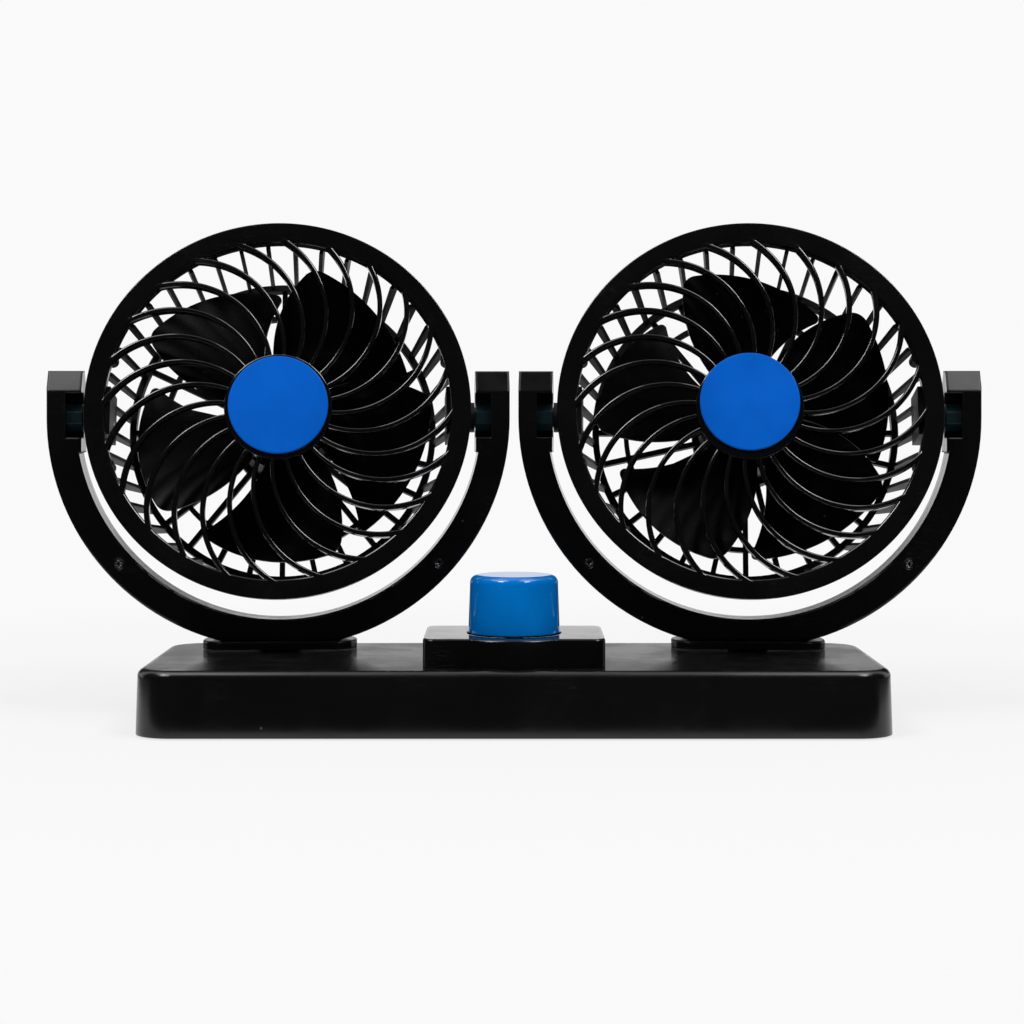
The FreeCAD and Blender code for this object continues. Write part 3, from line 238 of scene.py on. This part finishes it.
# Cord bush in the rear wall: soft black rubber, moulded, and pushed in until its groove snaps over the wall.
# Rubber keeps more dust than the shell and hardly shines.
bush_rubber = moulded_plastic(
    "bush_rubber", colour=(0.015, 0.015, 0.015), worn_colour=(0.04, 0.04, 0.04), roughness=0.62,
    blotch_roughness=0.12, bump=0.3, grain=3800.0, grain_share=0.7, dust=0.1, lines=0.02, specks=0.15,
    specular=0.35)
dress(bush_rubber, "cable_grommet")


# Button: blue glossy cap, moulded with a slight draft in a polished tool and pressed on the plunger of the
# switch. The plunger is white acetal, as are the end caps of the motors.
button_blue = moulded_plastic(
    "button_blue", colour=(0.0, 0.127, 0.43), worn_colour=(0.02, 0.18, 0.5), roughness=0.03,
    blotch_roughness=0.04, bump=0.015, dust=0.01, lines=0.01, specks=0.03, edge=0.0004)
dress(button_blue, "button_cap")
plunger_white = moulded_plastic(
    "plunger_white", colour=(0.72, 0.70, 0.65), worn_colour=(0.8, 0.8, 0.78), roughness=0.42,
    blotch_roughness=0.1, bump=0.15, dust=0.0, lines=0.02, specks=0.0)
dress(plunger_white, "switch_plunger", *both_sides("motor_endbell"))


# Screws, washers, clips, nut and motor cans: zinc-plated, blackened or drawn steel. Fine turning or drawing
# lines run round them, and their cut edges are a little rounded and paler; on the black yoke screws the pale
# rims are a painted glint.
TURNING_SCALE = (900.0, 900.0, 9000.0)
TURNING_DEPTH = 0.00005
TURNING_BUMP = 0.15
GLOSS_BELOW, GLOSS_ABOVE = 0.08, 0.12
TARNISH_SCALE = 420.0
TARNISH_SHADE = 0.6


def turned_steel(name, colour, rim_and_glint_colour, roughness, edge=0.00015):
    """Steel with paler rims, which on dark steel are a painted glint, and fine turning lines: stretched noise
    drives the gloss and a shallow bump.
    """
    material = bpy.data.materials.new(name)
    material.use_nodes = True
    tree = material.node_tree
    shader = tree.nodes["Principled BSDF"]
    place = add_node(tree, "ShaderNodeTexCoord").outputs["Object"]
    long_way = add_node(tree, "ShaderNodeMapping", {"Vector": place, "Scale": TURNING_SCALE})
    streak = noise(tree, long_way.outputs["Vector"], scale=1.0, detail=4.0)
    tarnish = ramp(tree, noise(tree, place, TARNISH_SCALE, detail=4.0), low=0.4, high=0.75)
    shade = colour_mix(tree, tarnish, colour, [TARNISH_SHADE * part for part in colour])
    soft = add_node(tree, "ShaderNodeGroup", {"Radius": edge}, node_tree=edge_group)
    tree.links.new(colour_mix(tree, soft.outputs["Edge"], shade, rim_and_glint_colour), shader.inputs["Base Color"])
    gloss = ramp(tree, streak, low=0.3, high=0.7, at_low=roughness - GLOSS_BELOW,
                 at_high=roughness + GLOSS_ABOVE)
    tree.links.new(gloss, shader.inputs["Roughness"])
    relief = add_node(tree, "ShaderNodeBump", {"Height": streak, "Strength": TURNING_BUMP,
                                               "Normal": soft.outputs["Normal"], "Distance": TURNING_DEPTH})
    tree.links.new(relief.outputs["Normal"], shader.inputs["Normal"])
    shader.inputs["Metallic"].default_value = 1.0
    return material


plated_steel = turned_steel(
    "plated_steel", colour=(0.5, 0.5, 0.51), rim_and_glint_colour=(0.6, 0.6, 0.6), roughness=0.32)
dress(plated_steel, "base_screws", "pod_screws", "switch_nut",
      *both_sides("swivel_washer", "swivel_clip", "guard_screws"))
# Yoke screws: dark steel whose near-white rims are a painted glint round each head.
black_steel = turned_steel(
    "black_steel", colour=(0.06, 0.06, 0.06), rim_and_glint_colour=(0.7, 0.7, 0.7), roughness=0.3, edge=0.0004)
dress(black_steel, *both_sides("yoke_screws"))
motor_steel = turned_steel(
    "motor_steel", colour=(0.6, 0.6, 0.61), rim_and_glint_colour=(0.66, 0.66, 0.67), roughness=0.26)
dress(motor_steel, *both_sides("motor_can", "motor_shaft"))


# Yokes: two half shells each, glossy black ABS, injection moulded. They are screwed together along the C and
# close over the stub of the swivel foot.
yoke_black = moulded_plastic(
    "yoke_black", colour=(0.0026, 0.0026, 0.0027), worn_colour=(0.015, 0.015, 0.015), roughness=0.11,
    blotch_roughness=0.06, bump=0.04, dust=0.03, lines=0.02, specks=0.1, edge=0.001, specular=0.4)
dress(yoke_black, *both_sides("yoke_front", "yoke_rear"))


# Tilt pins: eight-sided black acetal pins, moulded and held between the halves of the arms. Their round
# journals reach into the bosses of the head, which rocks on them. Their dark teal tint is a painted
# reflection.
pin_black = moulded_plastic(
    # Black with a teal tint painted in as a reflection on the facets.
    "pin_black", colour=(0.005, 0.014, 0.018), worn_colour=(0.03, 0.045, 0.05), roughness=0.14,
    blotch_roughness=0.06, bump=0.04, dust=0.03, lines=0.008, specks=0.04, edge=0.0004)
dress(pin_black, *both_sides("pivot_pins"))


# Rear guards and motor covers: satin black polypropylene, injection moulded. Rim, fins, hoops, spokes and
# motor cup are one piece, and the cover snaps into the cup from behind.
rear_black = moulded_plastic(
    "rear_black", colour=(0.003, 0.003, 0.0032), worn_colour=(0.012, 0.012, 0.012), roughness=0.36,
    blotch_roughness=0.1, bump=0.08, dust=0.02, lines=0.02, specks=0.05, edge=0.00025, specular=0.25)
dress(rear_black, *both_sides("rear_guard", "motor_cover"))


# Impellers: five wide twisted blades on a hub cup, one moulding of dull black polypropylene, pressed on the
# motor shaft.
blade_black = moulded_plastic(
    "blade_black", colour=(0.0012, 0.0012, 0.0012), worn_colour=(0.008, 0.008, 0.008), roughness=0.24,
    blotch_roughness=0.1, bump=0.06, dust=0.012, lines=0.015, specks=0.04, specular=0.05)
dress(blade_black, *both_sides("impeller"))


# Front guards: ring, hub and curved ribs in one black moulding, held by screws from behind. The ribs leave
# the hub radially, bend round to the ring and have rounded front edges that catch a line of light.
guard_black = moulded_plastic(
    "guard_black", colour=(0.0021, 0.0021, 0.0022), worn_colour=(0.012, 0.012, 0.012), roughness=0.09,
    blotch_roughness=0.05, bump=0.02, dust=0.03, lines=0.02, specks=0.08, edge=0.00025, specular=0.8)
# Corners are (radius, height along the head's axis, rounding). Lengths are in millimetres, RIB_TURN is in
# degrees, and MERGE is in metres.
RING = [(51.0, 10.4, 0.0), (54.8, 10.4, 0.0), (54.8, 6.0, 0.2), (56.0, 6.0, 0.3), (56.9, 14.0, 0.3),
        (51.0, 14.0, 0.9)]
HUB = [(0.0, 13.7, 0.0), (14.4, 13.7, 0.0), (14.4, 9.0, 0.2), (15.9, 9.0, 0.3), (15.9, 15.2, 0.5),
       (0.0, 15.2, 0.0)]
RIBS = 24
RIB_TURN = -5.5
RIB_BEND = 27.5
RIB_START = 15.15
RIB_END = 52.8
RIB_HUB_WIDTH = 1.25
RIB_RING_WIDTH = 1.65
RIB_BACK_ROUNDING = 0.25
RIB_FRONT_ROUNDING = 0.65
RIB_FRONT = [(15.9, 14.5), (52.2, 14.0)]
RIB_BACK = [(15.9, 11.7), (51.0, 10.4)]
RIB_SINK = 0.6
DOME = 400.0
MM = 0.001
MERGE = 1e-7
joints = {joint["name"]: joint for joint in frame["joints"]}


def rounded_profile(corners, steps=6):
    """A closed profile through corners (r, z, radius): each corner gives way to a quadratic arc that starts
    and ends one radius from it along the two sides."""
    points = np.array([corner[:2] for corner in corners])
    radii = np.array([corner[2] for corner in corners])[:, None]
    back = np.roll(points, 1, axis=0) - points
    ahead = np.roll(points, -1, axis=0) - points
    start = points + radii * back / np.linalg.norm(back, axis=1)[:, None]
    end = points + radii * ahead / np.linalg.norm(ahead, axis=1)[:, None]
    share = np.linspace(0.0, 1.0, steps)[None, :, None]
    arcs = ((1 - share) ** 2 * start[:, None] + 2 * share * (1 - share) * points[:, None]
            + share ** 2 * end[:, None])
    return arcs.reshape(-1, 2)


def turned(profile, steps=192):
    """A profile (r, z) carried round the axis: x = r cos a, y = r sin a."""
    angle = np.linspace(0.0, 2 * np.pi, steps, endpoint=False)[:, None]
    return np.stack([profile[:, 0] * np.cos(angle), profile[:, 0] * np.sin(angle),
                     np.broadcast_to(profile[:, 1], (steps, len(profile)))], axis=-1)


def dome_height(radius, ends):
    """Height of a shallow dome over the radius: a circle of radius DOME through two points (r, z)."""
    inner, outer = np.array(ends)
    half = (outer - inner) / 2
    across = np.array([half[1], -half[0]]) / np.linalg.norm(half)
    centre = inner + half + across * math.sqrt(DOME ** 2 - half @ half)
    return centre[1] + np.sqrt(DOME ** 2 - (radius - centre[0]) ** 2)


def curved_ribs(steps=56, trial_steps=4000, trial_bend=2.0):
    """Ribs as a rounded section carried along an arc: x = s + b sin f, y = b (1 - cos f). The section stands
    square to the arc and widens from hub to ring, its back and front follow two domes, and past the ring's
    edge the front sinks into it. The arc ends at the first trial angle that reaches RIB_END."""
    bend = np.linspace(0.0, trial_bend, trial_steps)
    reach = np.hypot(RIB_START + RIB_BEND * np.sin(bend), RIB_BEND * (1 - np.cos(bend)))
    bend = np.linspace(0.0, bend[np.searchsorted(reach, RIB_END)], steps)[:, None]
    half = RIB_RING_WIDTH / 2
    depth = RIB_FRONT[0][1] - RIB_BACK[0][1]
    section = rounded_profile([(-half, 0.0, RIB_BACK_ROUNDING), (half, 0.0, RIB_BACK_ROUNDING),
                               (half, depth, RIB_FRONT_ROUNDING), (-half, depth, RIB_FRONT_ROUNDING)])
    across, share = section[:, 0], section[:, 1] / depth
    slim = np.linspace(RIB_HUB_WIDTH / RIB_RING_WIDTH, 1.0, steps)[:, None]
    arm = RIB_BEND - across * slim
    x = RIB_START + arm * np.sin(bend)
    y = RIB_BEND - arm * np.cos(bend)
    radius = np.hypot(x, y)
    back = dome_height(radius, RIB_BACK)
    front = dome_height(radius, RIB_FRONT) - np.clip(radius - RIB_FRONT[1][0], 0.0, 1.0) * RIB_SINK
    rib = np.stack([x, y, back + (front - back) * share], axis=-1)
    turn = np.radians(RIB_TURN + 360.0 * np.arange(RIBS) / RIBS)[:, None, None]
    return np.stack([rib[..., 0] * np.cos(turn) - rib[..., 1] * np.sin(turn),
                     rib[..., 0] * np.sin(turn) + rib[..., 1] * np.cos(turn),
                     np.broadcast_to(rib[..., 2], (RIBS, *rib.shape[:2]))], axis=-1)


def grid_faces(rows, columns, close_rows, first):
    """Quads between neighbouring points of a grid whose rows are closed loops, and whose last row joins the
    first one if asked for. The points are counted from the number of the first one."""
    index = np.arange(rows * columns).reshape(rows, columns) + first
    if close_rows:
        index = np.vstack([index, index[:1]])
    index = np.hstack([index, index[:, :1]])
    return np.stack([index[:-1, :-1], index[1:, :-1], index[1:, 1:], index[:-1, 1:]], axis=-1).reshape(-1, 4)


def head_to_frame(points, side):
    """A head's own millimetres (right, up, forward) as metres in the frame, from its spin and tilt joints."""
    spin = joints[f"{side}_spin"]
    forward = np.array(spin["axis"]) / np.linalg.norm(spin["axis"])
    right = -np.array(joints[f"{side}_tilt"]["axis"])
    turn = np.stack([right, np.cross(forward, right), forward])
    return points.reshape(-1, 3) @ turn * MM + np.array(spin["pos_m"])


def new_piece(name, points, faces, material, sharp=40.0):
    """A mesh object with merged doubles, outward faces, and shading that breaks at sharp edges."""
    mesh = bpy.data.meshes.new(name)
    mesh.from_pydata(points.tolist(), [], faces)
    work = bmesh.new()
    work.from_mesh(mesh)
    bmesh.ops.remove_doubles(work, verts=work.verts, dist=MERGE)
    bmesh.ops.dissolve_degenerate(work, edges=work.edges, dist=MERGE)
    bmesh.ops.recalc_face_normals(work, faces=work.faces)
    work.to_mesh(mesh)
    work.free()
    mesh.shade_smooth()
    mesh.set_sharp_from_angle(angle=math.radians(sharp))
    mesh.materials.append(material)
    piece = bpy.data.objects.new(name, mesh)
    bpy.context.scene.collection.objects.link(piece)
    return piece


round_parts = [turned(rounded_profile(RING)), turned(rounded_profile(HUB))]
surfaces = [*round_parts, *curved_ribs()]
guard_faces = []
count = 0
for index, surface in enumerate(surfaces):
    rows, columns = surface.shape[:2]
    is_rib = index >= len(round_parts)
    guard_faces += grid_faces(rows, columns, not is_rib, count).tolist()
    if is_rib:
        guard_faces.append(list(range(count, count + columns)))
        guard_faces.append(list(range(count + (rows - 1) * columns, count + rows * columns)))
    count += rows * columns
guard_points = np.vstack([surface.reshape(-1, 3) for surface in surfaces])
for side in SIDES:
    guard = new_piece(f"{side}_guard", head_to_frame(guard_points, side), guard_faces, guard_black)
    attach(guard, f"{side}_head")
    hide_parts(f"{side}_front_guard")


# Hub discs: blue satin plastic, punched from sheet and glued to the front of each hub by hand, so the right
# one sits a little high.
disc_blue = moulded_plastic(
    "disc_blue", colour=(0.0, 0.078, 0.4), worn_colour=(0.01, 0.11, 0.46), roughness=0.3,
    blotch_roughness=0.1, bump=0.04, ripple=420.0, dust=0.006, lines=0.01, specks=0.01, specular=0.06)
dress(disc_blue, *both_sides("hub_disc"))


# Stage: pale floor that fades into the white surroundings, two soft boxes at the sides of the camera and two
# above. Dark cards round the object and on the floor show only in its gloss, where a black object in a white
# room would otherwise look grey.
FLOOR_TONE = 0.95
PAPER_TONE = 0.72
CARD_TONE = 0.008
# Share of the floor's look that glows by itself; the rest is paper, which takes the light and the shadow.
GLOW_SHARE = 0.78
SKY_LIGHT = 0.5
FADE_START, FADE_END = 0.2, 0.42
FLOOR_REACH = 3.0
CARD_REACH, CARD_FRONT, CARD_BACK = 1.4, -1.2, 1.2
FRONT_TOP, SIDE_END = 1.7, 0.4
# The back card leaves a white strip over the floor, the lid hangs over the inner arm tips, and a pale patch of
# floor stays free under and behind the object.
BACK_START, BACK_TOP = 0.178, 1.4
LID_REACH, LID_FRONT, LID_BACK, LID_HEIGHT = 0.2, -0.75, -0.3, 1.2
PALE_REACH, PALE_FRONT, PALE_BACK = 0.2, -0.05, 0.2
TABLE_HEIGHT = 0.001


def grey(tone):
    """A plain grey as a shader's colour."""
    return (tone, tone, tone, 1.0)


def stage_plane(name, corners, material):
    """A flat card by its four corners."""
    mesh = bpy.data.meshes.new(name)
    mesh.from_pydata(corners, [], [(0, 1, 2, 3)])
    mesh.materials.append(material)
    card = bpy.data.objects.new(name, mesh)
    bpy.context.scene.collection.objects.link(card)
    return card


def level(x_from, x_to, y_from, y_to, height):
    """Corners of a level card."""
    return [(x_from, y_from, height), (x_to, y_from, height), (x_to, y_to, height), (x_from, y_to, height)]


def upright(x_from, x_to, y_from, y_to, low, high):
    """Corners of an upright card over the line from one point of the floor to another."""
    return [(x_from, y_from, low), (x_to, y_to, low), (x_to, y_to, high), (x_from, y_from, high)]


def seen_rays(tree):
    """1 for rays from the camera, from gloss and through glass, and 0 for rays that only bring light."""
    path = add_node(tree, "ShaderNodeLightPath")
    seen = math_node(tree, "MAXIMUM", path.outputs["Is Camera Ray"], path.outputs["Is Glossy Ray"])
    return math_node(tree, "MAXIMUM", seen, path.outputs["Is Transmission Ray"])


def empty_material(name):
    """A material whose node tree holds nothing but its output, and the output's surface socket."""
    material = bpy.data.materials.new(name)
    material.use_nodes = True
    material.node_tree.nodes.clear()
    return material, add_node(material.node_tree, "ShaderNodeOutputMaterial").inputs["Surface"]


floor_pale, surface = empty_material("floor_pale")
tree = floor_pale.node_tree
place = add_node(tree, "ShaderNodeTexCoord").outputs["Object"]
away = add_node(tree, "ShaderNodeVectorMath", {0: place}, operation="LENGTH").outputs["Value"]
paper = add_node(tree, "ShaderNodeBsdfDiffuse", {"Color": grey(PAPER_TONE)}).outputs[0]
glow = add_node(tree, "ShaderNodeEmission", {"Color": grey(FLOOR_TONE)}).outputs[0]
clear = add_node(tree, "ShaderNodeBsdfTransparent").outputs[0]
seen = seen_rays(tree)
glowing = math_node(tree, "MULTIPLY", seen, GLOW_SHARE)
half_lit = add_node(tree, "ShaderNodeMixShader", {0: glowing, 1: paper, 2: glow}).outputs[0]
fading = math_node(tree, "MULTIPLY", seen, ramp(tree, away, FADE_START, FADE_END))
faded = add_node(tree, "ShaderNodeMixShader", {0: fading, 1: half_lit, 2: clear}).outputs[0]
tree.links.new(faded, surface)
stage_plane("floor", level(-FLOOR_REACH, FLOOR_REACH, -FLOOR_REACH, FLOOR_REACH, 0.0), floor_pale)

card_dark, surface = empty_material("card_dark")
tree = card_dark.node_tree
soot = add_node(tree, "ShaderNodeBsdfDiffuse", {"Color": grey(CARD_TONE)}).outputs[0]
tree.links.new(soot, surface)
cards = {
    "dark_front": upright(-CARD_REACH, CARD_REACH, CARD_FRONT, CARD_FRONT, 0.0, FRONT_TOP),
    "dark_left": upright(-CARD_REACH, -CARD_REACH, CARD_FRONT, SIDE_END, 0.0, FRONT_TOP),
    "dark_right": upright(CARD_REACH, CARD_REACH, CARD_FRONT, SIDE_END, 0.0, FRONT_TOP),
    "dark_top": level(-LID_REACH, LID_REACH, LID_FRONT, LID_BACK, LID_HEIGHT),
    "dark_back": upright(-CARD_REACH, CARD_REACH, CARD_BACK, CARD_BACK, BACK_START, BACK_TOP),
    "table_front": level(-CARD_REACH, CARD_REACH, CARD_FRONT, PALE_FRONT, TABLE_HEIGHT),
    "table_left": level(-CARD_REACH, -PALE_REACH, PALE_FRONT, PALE_BACK, TABLE_HEIGHT),
    "table_right": level(PALE_REACH, CARD_REACH, PALE_FRONT, PALE_BACK, TABLE_HEIGHT),
    "table_back": level(-CARD_REACH, CARD_REACH, PALE_BACK, CARD_BACK, TABLE_HEIGHT),
}
for name, corners in cards.items():
    card = stage_plane(name, corners, card_dark)
    card.visible_camera = False
    card.visible_diffuse = False
    card.visible_shadow = False

world = bpy.data.worlds.new("surroundings")
bpy.context.scene.world = world
world.use_nodes = True
tree = world.node_tree
sky = tree.nodes["Background"]
sky.inputs["Color"].default_value = grey(1.0)
strength = ramp(tree, seen_rays(tree), low=0.0, high=1.0, at_low=SKY_LIGHT, at_high=FLOOR_TONE)
tree.links.new(strength, sky.inputs["Strength"])


def soft_box(name, place, aim, width, height, power):
    """An area lamp turned towards a point."""
    lamp = bpy.data.lights.new(name, "AREA")
    lamp.shape = "RECTANGLE"
    lamp.size = width
    lamp.size_y = height
    lamp.energy = power
    box = bpy.data.objects.new(name, lamp)
    box.location = place
    towards = np.array(aim) - np.array(place)
    box.rotation_euler = (math.acos(-towards[2] / np.linalg.norm(towards)), 0.0,
                          math.atan2(-towards[0], towards[1]))
    bpy.context.scene.collection.objects.link(box)


for side, x in zip(SIDES, (-0.75, 0.75)):
    soft_box(f"{side}_box", place=(x, -0.75, 1.35), aim=(0.0, 0.0, 0.08), width=0.4, height=0.4, power=7.4)
for side, x in zip(SIDES, (-0.53, 0.53)):
    soft_box(f"{side}_top_box", place=(x, -0.2, 1.2), aim=(x, -0.2, 0.0), width=0.65, height=0.68, power=4.1)

lens = bpy.data.cameras.new("camera")
lens.sensor_width = 36.0
lens.lens = 75.8
lens.shift_x = -0.002
lens.shift_y = -0.1064
camera = bpy.data.objects.new("camera", lens)
camera.location = (0.0, -0.627, 0.0924)
camera.rotation_euler = (math.radians(90.0), 0.0, 0.0)
bpy.context.scene.collection.objects.link(camera)
bpy.context.scene.camera = camera
bpy.context.scene.view_settings.view_transform = "Standard"
